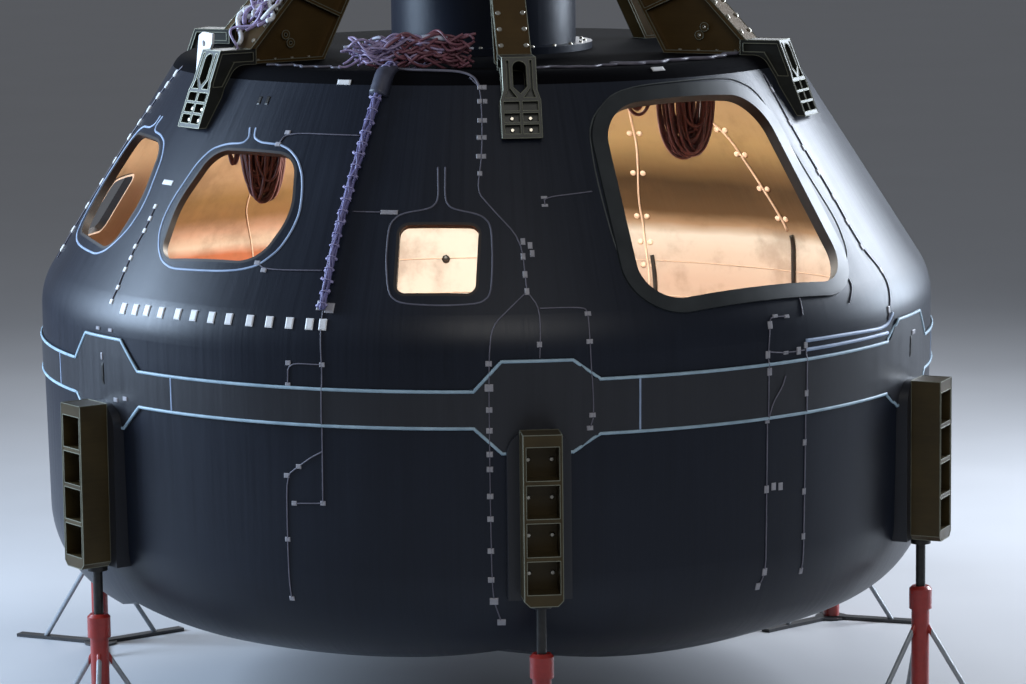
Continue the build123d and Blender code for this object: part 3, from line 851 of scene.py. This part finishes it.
# Routes of the leads: station and height of each bend
lead_routes = [
    [(34.5, 3.051), (21.5, 3.053), (20.3, 2.99)],
    [(33.1, 2.451), (25.0, 2.443), (23.4, 2.472)],
    [(35.7, 2.713), (41.9, 2.713)],
    [(34.3, 2.29), (34.7, 2.034), (34.6, 1.869), (34.5, 1.622), (34.4, 1.375)],
    [(34.7, 2.034), (30.4, 2.035), (30.3, 1.931)],
    [(34.5, 1.622), (33.0, 1.59), (31.4, 1.544), (29.8, 1.497), (29.7, 1.19), (29.8, 0.902)],
    [(30.7, 1.366), (34.4, 1.375)],
    [(51.8, 3.315), (53.6, 3.27), (53.9, 3.121), (53.8, 2.961), (53.1, 2.806), (54.9, 2.739),
     (58.9, 2.592), (59.2, 2.366)],
    [(59.2, 2.366), (57.5, 2.312), (54.8, 2.219), (54.4, 2.05), (54.4, 1.434), (54.5, 1.026),
     (54.7, 0.921), (55.6, 0.811)],
    [(59.2, 2.366), (60.6, 2.292), (60.3, 2.07)],
    [(60.6, 2.292), (63.3, 2.293), (66.0, 2.289), (66.3, 2.263), (66.2, 2.14), (66.6, 1.796),
     (66.1, 1.735)],
    [(93.0, 2.179), (90.3, 2.188), (89.9, 2.15), (89.5, 2.011), (89.5, 1.699), (89.5, 1.361),
     (89.5, 0.958), (89.2, 0.916), (88.8, 0.888)],
    [(95.3, 2.01), (92.3, 2.009), (89.6, 2.024)],
    [(92.1, 1.9), (91.6, 1.85), (90.2, 1.78), (89.5, 1.7)],
    [(95.9, 2.291), (95.7, 2.246), (95.4, 2.174)],
    [(106.3, 2.33), (106.5, 2.271), (104.5, 2.196)],
    [(95.6, 2.033), (95.7, 1.5), (95.6, 0.928)],
    [(69.5, 2.793), (62.5, 2.774), (62.5, 2.739)],
    [(0.1, 2.669), (0.4, 2.557), (0.1, 2.482), (0.4, 2.376), (0.8, 2.294), (0.8, 2.229)],
    [(113.1, 3.253), (112.8, 2.939), (113.5, 2.696), (113.4, 2.432), (115.6, 2.278), (113.0, 2.071)],
    [(-18.4, 3.3), (-21.5, 3.228), (-25.5, 3.074), (-29.0, 2.918), (-30.0, 2.7), (-29.5, 2.447),
     (-27.5, 2.316)],
]
lead_paint = finish("lead_paint", insulation((0.06, 0.06, 0.08), (0.2, 0.19, 0.24)))
add_piece("leads", joined([lead(route, lead_radius) for route in lead_routes]), lead_paint)

# Pads of tape: stations and heights of a group, then the width, height and thickness of its pads.
# White ones first: the row on the eave, the short row and the single pad beside a window, the row
# on the left edge, and two at the top. The others are grey.
bright_groups = [
    ([(3.8, 2.208), (6.2, 2.212), (8.4, 2.216), (11.0, 2.215), (13.9, 2.218), (16.5, 2.219),
      (19.3, 2.218), (21.9, 2.218), (24.9, 2.218), (27.6, 2.218), (30.3, 2.218), (32.9, 2.218),
      (34.6, 2.218)], 0.038, 0.055, 0.006),
    ([(0.1, 2.669), (0.3, 2.613), (0.4, 2.557), (0.1, 2.482), (0.4, 2.43), (0.4, 2.376), (0.8, 2.294),
      (0.8, 2.229)], 0.022, 0.026, 0.007),
    ([(0.2, 2.782)], 0.085, 0.026, 0.006),
    ([(-20.4, 3.26), (-21.9, 3.2), (-23.8, 3.14), (-25.5, 3.07), (-27.2, 3.0), (-28.9, 2.92),
      (-29.6, 2.8), (-29.9, 2.69), (-29.7, 2.57), (-29.4, 2.45), (-28.2, 2.36)],
     0.03, 0.04, 0.009),
    ([(29.4, 3.289), (86.8, 3.325)], 0.07, 0.026, 0.006),
]
pad_groups = [
    ([(34.0, 2.3), (35.1, 2.29)], 0.045, 0.05, 0.008),
    ([(40.4, 2.713), (41.4, 2.713)], 0.05, 0.022, 0.006),
    ([(21.5, 3.053), (20.4, 2.998), (24.8, 2.44), (23.5, 2.47)], 0.03, 0.022, 0.006),
    ([(53.5, 3.27), (54.3, 3.27), (53.5, 3.207), (54.4, 3.207), (53.5, 3.121), (54.3, 3.121),
      (53.4, 3.045), (54.2, 3.045), (53.3, 2.961), (54.1, 2.961), (53.5, 2.885)],
     0.022, 0.024, 0.007),
    ([(59.1, 2.583), (60.0, 2.565), (60.2, 2.53), (59.0, 2.518), (59.1, 2.44), (59.2, 2.366)],
     0.022, 0.034, 0.007),
    ([(54.4, height) for height in (2.05, 1.834, 1.736, 1.623, 1.552, 1.424, 1.316, 1.164, 1.026)],
     0.03, 0.026, 0.006),
    ([(54.4, 1.938), (54.7, 0.921), (55.6, 0.811)], 0.04, 0.034, 0.007),
    ([(60.3, 2.134)], 0.024, 0.026, 0.006),
    ([(66.3, 2.263), (66.2, 2.14), (66.4, 1.796), (66.1, 1.735)], 0.03, 0.022, 0.006),
    ([(89.5, 2.011), (89.5, 1.699), (89.5, 1.361), (89.5, 0.958), (88.8, 0.888), (90.6, 1.37),
      (91.7, 1.365), (90.0, 2.15), (89.6, 1.93), (94.4, 2.01)], 0.026, 0.036, 0.006),
    ([(92.8, 2.18), (91.0, 2.188), (92.3, 2.009)], 0.03, 0.016, 0.006),
    ([(95.6, height) for height in (2.033, 1.8, 1.56, 1.32, 1.1, 0.928)], 0.022, 0.03, 0.006),
    ([(30.4, 2.035), (30.3, 1.931), (31.4, 1.544), (29.8, 1.497), (29.7, 1.19), (29.8, 0.902),
      (30.7, 1.366), (34.7, 2.034), (34.4, 1.375)], 0.026, 0.022, 0.006),
    ([(2.7, 1.759), (4.7, 1.774)], 0.034, 0.02, 0.006), ([(-0.1, 1.962)], 0.014, 0.034, 0.005),
    ([(-1.2, 2.094), (1.7, 2.096)], 0.034, 0.016, 0.006),
    ([(121.2, 1.967)], 0.05, 0.022, 0.006),
    ([(62.5, 2.774), (62.5, 2.739)], 0.03, 0.014, 0.005),
    ([(113.1, 3.18), (112.9, 3.02), (112.8, 2.9), (113.1, 2.78), (113.5, 2.66), (113.4, 2.54),
      (113.6, 2.42), (115.2, 2.3), (113.4, 2.12)], 0.022, 0.034, 0.006),
]
grey_tape = finish("grey_tape", insulation((0.16, 0.16, 0.19), (0.48, 0.47, 0.5)))
white_tape = finish("white_tape", insulation((0.6, 0.61, 0.64), (0.92, 0.92, 0.92)))
for name, groups, tape in (("tape_pads", pad_groups, grey_tape), ("white_pads", bright_groups, white_tape)):
    pad_meshes = [
        pad(station, height, width, tall, rise)
        for places, width, tall, rise in groups for station, height in places
    ]
    add_piece(name, joined(pad_meshes), tape, False)

# Raised channels near the hatch, and the thin joints between the belt's lengths.
channel_routes = [
    [(95.6, 2.053), (103.9, 2.049), (112.4, 2.035), (114.5, 2.098)],
    [(95.6, 2.009), (103.9, 2.009), (113.0, 2.007)],
]
channel_meshes = [strip_mesh(traced(rounded(route)), 0.02, 0.008) for route in channel_routes]
joint_stations = [-13.2, 13.3, 72.2, 133.2, 193.2, 252.2]
for station in joint_stations:
    wide = int(wide_belt[0] < station % 360 < wide_belt[1])
    low, high = belt_edges["low"][wide], belt_edges["high"][wide]
    channel_meshes.append(strip_mesh(traced([(station, low), (station, high)]), 0.011, 0.003))
add_piece("channels", joined(channel_meshes), window_paint)

# Each slot, a flat black pad painted as the shade inside it: station, height, width and how tall it is
slot_places = [
    (13.2, 3.19, 0.018, 0.045), (15.0, 3.192, 0.018, 0.045),
    (120.3, 1.9, 0.02, 0.105), (-0.1, 1.877, 0.02, 0.105),
]
slot_meshes = [pad(*place, 0.004) for place in slot_places]
add_piece("slot_shade_pads", joined(slot_meshes), black_steel, False)


# Wiring on the inside of the cabin's wall, seen through the hatch, with the seam of the two shells.
def on_inside(station, height):
    """Point and inward normal of the cabin's wall at a station and a height."""
    out = outward(station)
    return met_wall(out * inside_start, out, height)


def inner_line(corners, radius, step=0.04):
    """A lead that lies on the inside along a route of (station, height) pairs."""
    points = []
    route = rounded(corners)
    for (s0, h0), (s1, h1) in zip(route, route[1:]):
        count = max(1, ceil((abs(radians(s1 - s0)) * wall_radius + abs(h1 - h0)) / step))
        for i in range(count):
            point, normal = on_inside(s0 + (s1 - s0) * i / count, h0 + (h1 - h0) * i / count)
            points.append(point + normal * radius)
    return tube_mesh(points, radius)


# Routes of the leads: station and height of each bend
inner_pale = [
    [(207.6, 3.05), (208.1, 2.791), (208.3, 2.659), (210.7, 2.308), (210.7, 2.126), (210.3, 2.0),
     (209.8, 1.861), (209.6, 1.5)],
    [(193.5, 2.96), (191.6, 2.815), (189.2, 2.732), (187.5, 2.537), (186.2, 2.335), (185.7, 2.187)],
    [(262.0, 2.9), (262.5, 2.4), (262.5, 1.9)],
]
inner_thin = [(273.4, 2.9), (273.2, 2.6), (273.0, 2.34), (271.2, 2.22), (270.1, 2.1), (269.8, 1.85)]
inner_dark = [
    [(209.4, 1.99), (208.9, 1.861), (208.7, 1.5)], [(184.9, 2.17), (184.8, 1.895), (184.7, 1.5)],
]
seam_heights = [1.96, 1.76]
inner_meshes = [inner_line(route, 0.006) for route in inner_pale] + [inner_line(inner_thin, 0.004)]
for route in inner_pale:
    for (s0, h0), (s1, h1) in zip(route, route[1:]):
        point, normal = on_inside((s0 + s1) / 2, (h0 + h1) / 2)
        for aside in (-0.03, 0.03):
            inner_meshes.append(stud(point + along((s0 + s1) / 2) * aside, normal, 0.017, 0.012))
warm_tape = finish("warm_tape", insulation((0.6, 0.42, 0.3), (0.9, 0.74, 0.58)))
add_piece("inner_leads", joined(inner_meshes), warm_tape)
inner_meshes = [inner_line(route, 0.012) for route in inner_dark]
inner_meshes.append(stud(*on_inside(240.2, 1.955), 0.024, 0.014))
add_piece("inner_cables", joined(inner_meshes), black_steel)
seam_paint = finish("seam_paint", insulation((0.5, 0.36, 0.26), (0.68, 0.52, 0.4)))
seams = [inner_line([(station, height) for station in range(0, 361, 20)], 0.003) for height in seam_heights]
add_piece("inner_seams", joined(seams), seam_paint)


# The main harness: a laced bundle of violet wires from the ceiling's edge, over the shoulder and
# down the cone, thicker at its top, with a tie every few centimetres.
def smooth_route(points, passes=3):
    """Cut the corners of a route of points."""
    for _ in range(passes):
        cut = [points[0]]
        for first, second in zip(points, points[1:]):
            cut += [first.lerp(second, 0.25), first.lerp(second, 0.75)]
        points = cut + [points[-1]]
    return points


def evenly(points, step):
    """Points spaced evenly along a route."""
    made = [points[0]]
    left = step
    for first, second in zip(points, points[1:]):
        reach = (second - first).length
        gone = 0
        while reach - gone > left:
            gone += left
            made.append(first.lerp(second, gone / reach))
            left = step
        left -= reach - gone
    return made


def ring_mesh(point, across, other, radius, thickness):
    """A tie round a bundle."""
    loop = [
        point + (across * cos(turn * pi / 8) + other * sin(turn * pi / 8)) * radius for turn in range(17)
    ]
    return tube_mesh(loop, thickness)


random.seed(11)
harness_station = 35
harness_lift = 0.0205
harness_top = 3.3605
harness_corners = [at(36.7, 1.438, harness_top), at(36.7, 1.56, harness_top)]
for station, height in ((36.3, 3.24), (35.2, 2.96), (34.2, 2.61), (34.3, 2.275)):
    point, normal = on_skin(station, height)
    harness_corners.append(point + normal * harness_lift)
harness_line = evenly(smooth_route(harness_corners), 0.012)
harness_frames = frames_along(harness_line)
strand_count = 9
harness_spread = 0.0185
harness_taper = 0.006
tie_radius = 0.0255
strand_meshes = []
for strand in range(strand_count):
    phase = 2 * pi * strand / strand_count
    strand_line = []
    for index, (point, (across, other)) in enumerate(zip(harness_line, harness_frames)):
        share = index / len(harness_line)
        spread = (harness_spread - harness_taper * share) * (0.8 if strand % 3 else 1.0)
        turning = 1 if strand % 2 else -1
        angle = phase + turning * index * 0.16 + 0.5 * sin(index * 0.21 + strand)
        strand_line.append(point + (across * cos(angle) + other * sin(angle)) * spread)
    strand_meshes.append(tube_mesh(strand_line, 0.0068 if strand % 3 else 0.0056))
harness_paint = finish("harness_paint", insulation((0.06, 0.06, 0.15), (0.24, 0.22, 0.46)))
harness = add_piece("harness_strands", joined(strand_meshes), harness_paint)
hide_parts("main_harness")
tie_meshes = []
for index in range(4, len(harness_line) - 2, 5):
    point = harness_line[index]
    across, other = harness_frames[index]
    share = index / len(harness_line)
    tie_meshes.append(ring_mesh(point, across, other, tie_radius - harness_taper * share, 0.003))
    for sign in (-1, 1):
        heading = along(harness_station) * sign
        slope = Vector((0, 0, random.uniform(-0.014, 0.014)))
        reach = random.uniform(0.018, 0.032)
        knot = [heading * 0.01, heading * 0.018 + slope * 0.5, heading * reach + slope]
        tie_meshes.append(tube_mesh([point + step for step in knot], 0.0075))
tie_paint = finish("tie_paint", insulation((0.16, 0.15, 0.32), (0.46, 0.42, 0.66)))
add_piece("harness_ties", joined(tie_meshes), tie_paint)
wrap_normal = on_skin(36.6, 3.24)[1]
wrap_line = [(point - Vector((0, 0, 0.012)), wrap_normal) for point in harness_line[3:22]]
wrap_paint = finish("wrap_paint", insulation((0.02, 0.022, 0.036), (0.075, 0.08, 0.12)))
add_piece("harness_wrap", strip_mesh(wrap_line, 0.1, 0.042), wrap_paint)


# Cables tied down on the ceiling's edge: a knot of violet loops on the left, maroon cables and a
# pale sleeve on the right, and single leads that run along the rim.
pile_places = [(25, 0.096), (35, 0.189), (45, 0.236), (54, 0.255)]
rim_radius = 1.561
ceiling_top = 3.34
pile_middle = 3.408
pile_reach = 0.055
pile_station = 39
pile_corners = [at(station, rim_radius - inset, pile_middle) for station, inset in pile_places]
pile_line = evenly(smooth_route(pile_corners), 0.015)


def pile_strand(first, last, radius, reach, lift):
    """A cable that wanders through the pile between two shares of its length."""
    start = int(first * (len(pile_line) - 1))
    stop = int(last * (len(pile_line) - 1))
    phases = [random.uniform(0, 6.28) for _ in range(4)]
    points = []
    for index in range(start, stop):
        wander = sin(index * 0.26 + phases[0]) * 0.6 + sin(index * 0.57 + phases[1]) * 0.4
        rise = sin(index * 0.23 + phases[2]) * 0.6 + sin(index * 0.51 + phases[3]) * 0.4
        sideways = outward(pile_station) * (wander * reach)
        upward = Vector((0, 0, lift + rise * reach * 0.8))
        points.append(pile_line[index] + sideways + upward)
    return tube_mesh(smooth_route(points, 1), radius)


def tangle(count, starts, ends, lifts, radius):
    """Cables through the pile, between random shares of its length and at random heights."""
    strands = []
    for _ in range(count):
        first, last = random.uniform(*starts), random.uniform(*ends)
        strands.append(pile_strand(first, last, radius, pile_reach, random.uniform(*lifts)))
    return joined(strands)


violet = tangle(34, (0.04, 0.3), (0.42, 0.8), (-0.035, 0.06), 0.0062)
violet_paint = finish("violet_paint", insulation((0.045, 0.032, 0.075), (0.62, 0.5, 0.78)))
violet_pile = add_piece("violet_cables", violet, violet_paint)
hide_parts("ceiling_cables")
maroon_paint = finish("maroon_paint", insulation((0.02, 0.006, 0.012), (0.34, 0.13, 0.17)))
maroon = tangle(32, (0.24, 0.62), (0.85, 1.0), (-0.035, 0.07), 0.0072)
add_piece("maroon_cables", maroon, maroon_paint)
sleeve_paint = finish("sleeve_paint", insulation((0.3, 0.32, 0.44), (0.72, 0.76, 0.9)))
sleeves = [pile_strand(0.6, 0.8, 0.013, 0.01, 0.075), pile_strand(0.22, 0.36, 0.008, 0.03, 0.06)]
sleeves += [
    pile_strand(first, first + 0.07, 0.007, 0.03, random.uniform(0.01, 0.045))
    for first in (0.08, 0.14, 0.24, 0.44, 0.52, 0.84, 0.89)
]
add_piece("pale_sleeves", joined(sleeves), sleeve_paint)


rim_route_radius = 1.44


def rim_lead(start, stop, radius, seed):
    """A lead that wanders along the ceiling's edge."""
    points = []
    for index in range(41):
        station = start + (stop - start) * index / 40
        wander = 0.025 * sin(index * 0.33 + seed) + 0.015 * sin(index * 0.9 + seed * 2)
        points.append(at(station, rim_route_radius + wander, ceiling_top + radius))
    return tube_mesh(points, radius)


rim_leads = [rim_lead(64, 92, 0.007, 3), rim_lead(80, 116, 0.01, 5), rim_lead(-28, -4, 0.012, 4),
             rim_lead(8, 26, 0.006, 7)]
pile_drop = smooth_route([
    at(37.5, 1.47, 3.352), at(40, 1.53, 3.35), at(45, 1.545, 3.349), at(50, 1.55, 3.345),
    at(52.5, 1.575, 3.322), at(53.4, 1.606, 3.28),
])
rim_leads.append(tube_mesh(pile_drop, 0.0065))
add_piece("rim_leads", joined(rim_leads), lead_paint)


# Cables on the cap of the gusset at station 0: violet strands and white sleeves, laid along the
# cap and tied down.
gusset_strands = []
for strand in range(16):
    first = random.uniform(-0.04, 0.2)
    reach = random.uniform(0.3, 0.62)
    side = random.uniform(-0.085, 0.085)
    phase = random.uniform(0, 6.28)
    route = []
    for step in range(25):
        share = min(first + reach * step / 24, 0.75)
        across = side + 0.06 * sin(step * 0.42 + phase)
        route.append(on_cap(0, share, across, 0.036 + 0.022 * sin(step * 0.55 + phase * 2)))
    gusset_strands.append(tube_mesh(smooth_route(route, 1), random.choice((0.007, 0.009, 0.012))))
add_piece("gusset_cables", joined(gusset_strands[:10]), violet_paint)
add_piece("gusset_sleeves", joined(gusset_strands[10:]), white_tape)


# The lifting lug: a white plate with one hole, fixed beside the upper fitting at station 0.
lug_outline = [
    (-0.222, 3.286), (-0.206, 3.38), (-0.186, 3.478), (-0.15, 3.496), (-0.06, 3.49), (-0.068, 3.44),
    (-0.098, 3.4), (-0.116, 3.34), (-0.124, 3.286), (-0.17, 3.282),
]
lug_hole = Vector((-0.142, 3.44))
lug_hole_radius = 0.016
lug_points = []
for radius in (1.603, 1.589):
    lug_points += [at(0, radius, height, across) for across, height in lug_outline]
    for corner in lug_outline:
        away = (Vector(corner) - lug_hole).normalized() * lug_hole_radius
        lug_points.append(at(0, radius, lug_hole.y + away.y, lug_hole.x + away.x))
lug_faces = []
for i in range(10):
    j = (i + 1) % 10
    lug_faces += [(i, j, j + 10, i + 10), (i + 20, i + 30, j + 30, j + 20)]
    lug_faces += [(i, i + 20, j + 20, j), (i + 10, j + 10, j + 30, i + 30)]
add_piece("lifting_lug", (lug_points, lug_faces), white_tape, False)


# Coils of maroon cable that hang from the ceiling inside, behind a window and the hatch's top.
# Each coil: name, station, distance in from the rim, shift aside, width, drop and number of loops
coil_places = [
    ("cable_coil_window", -7.9, 0.276, 0.02, 0.25, 0.674, 44),
    ("cable_coil_hatch", 122.6, 0.466, 0.0, 0.31, 0.5, 46),
    ("cable_coil_small", 122.6, 0.466, -0.225, 0.19, 0.275, 12),
    ("cable_coil_side", -7.9, 0.276, -0.14, 0.11, 0.5, 4),
]
coil_facing = 54
coil_depth = 0.078
coil_top = 3.279
loop_top = coil_top - 0.014
wide_loops = 38
coil_paint = finish("coil_paint", insulation((0.003, 0.001, 0.001), (0.19, 0.075, 0.08)))
for name, station, inset, aside, width, drop, loop_count in coil_places:
    centre = at(station, rim_radius - inset, 0) + along(coil_facing) * aside
    low = coil_top - drop
    loops = []
    for number in range(loop_count):
        depth = (number % wide_loops / (wide_loops - 1) - 0.5) * coil_depth
        half = width / 2 * random.uniform(*((0.34, 0.92) if number < wide_loops else (0.12, 0.4)))
        shift = random.uniform(-1, 1) * (width / 2 * 0.97 - half)
        bottom = low + 0.012 + random.uniform(0.0, 0.03) + 0.15 * random.random() ** 2
        bottom += 1.3 * shift * shift / width
        lean = random.uniform(-0.35, 0.35) * (width / 2 * 0.97 - half - abs(shift))
        loop = []
        for step in range(33):
            angle = pi * step / 32
            sink = sin(angle) ** 0.55
            across = -cos(angle) * half + shift + lean * sink
            height = loop_top - (loop_top - bottom) * sink
            loop.append(centre + at(coil_facing, depth, height, across))
        loops.append(tube_mesh(smooth_route(loop, 1), random.uniform(0.0075, 0.01)))
    coil = add_piece(name + "_loops", joined(loops), coil_paint)
    if name in nodes:
        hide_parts(name)
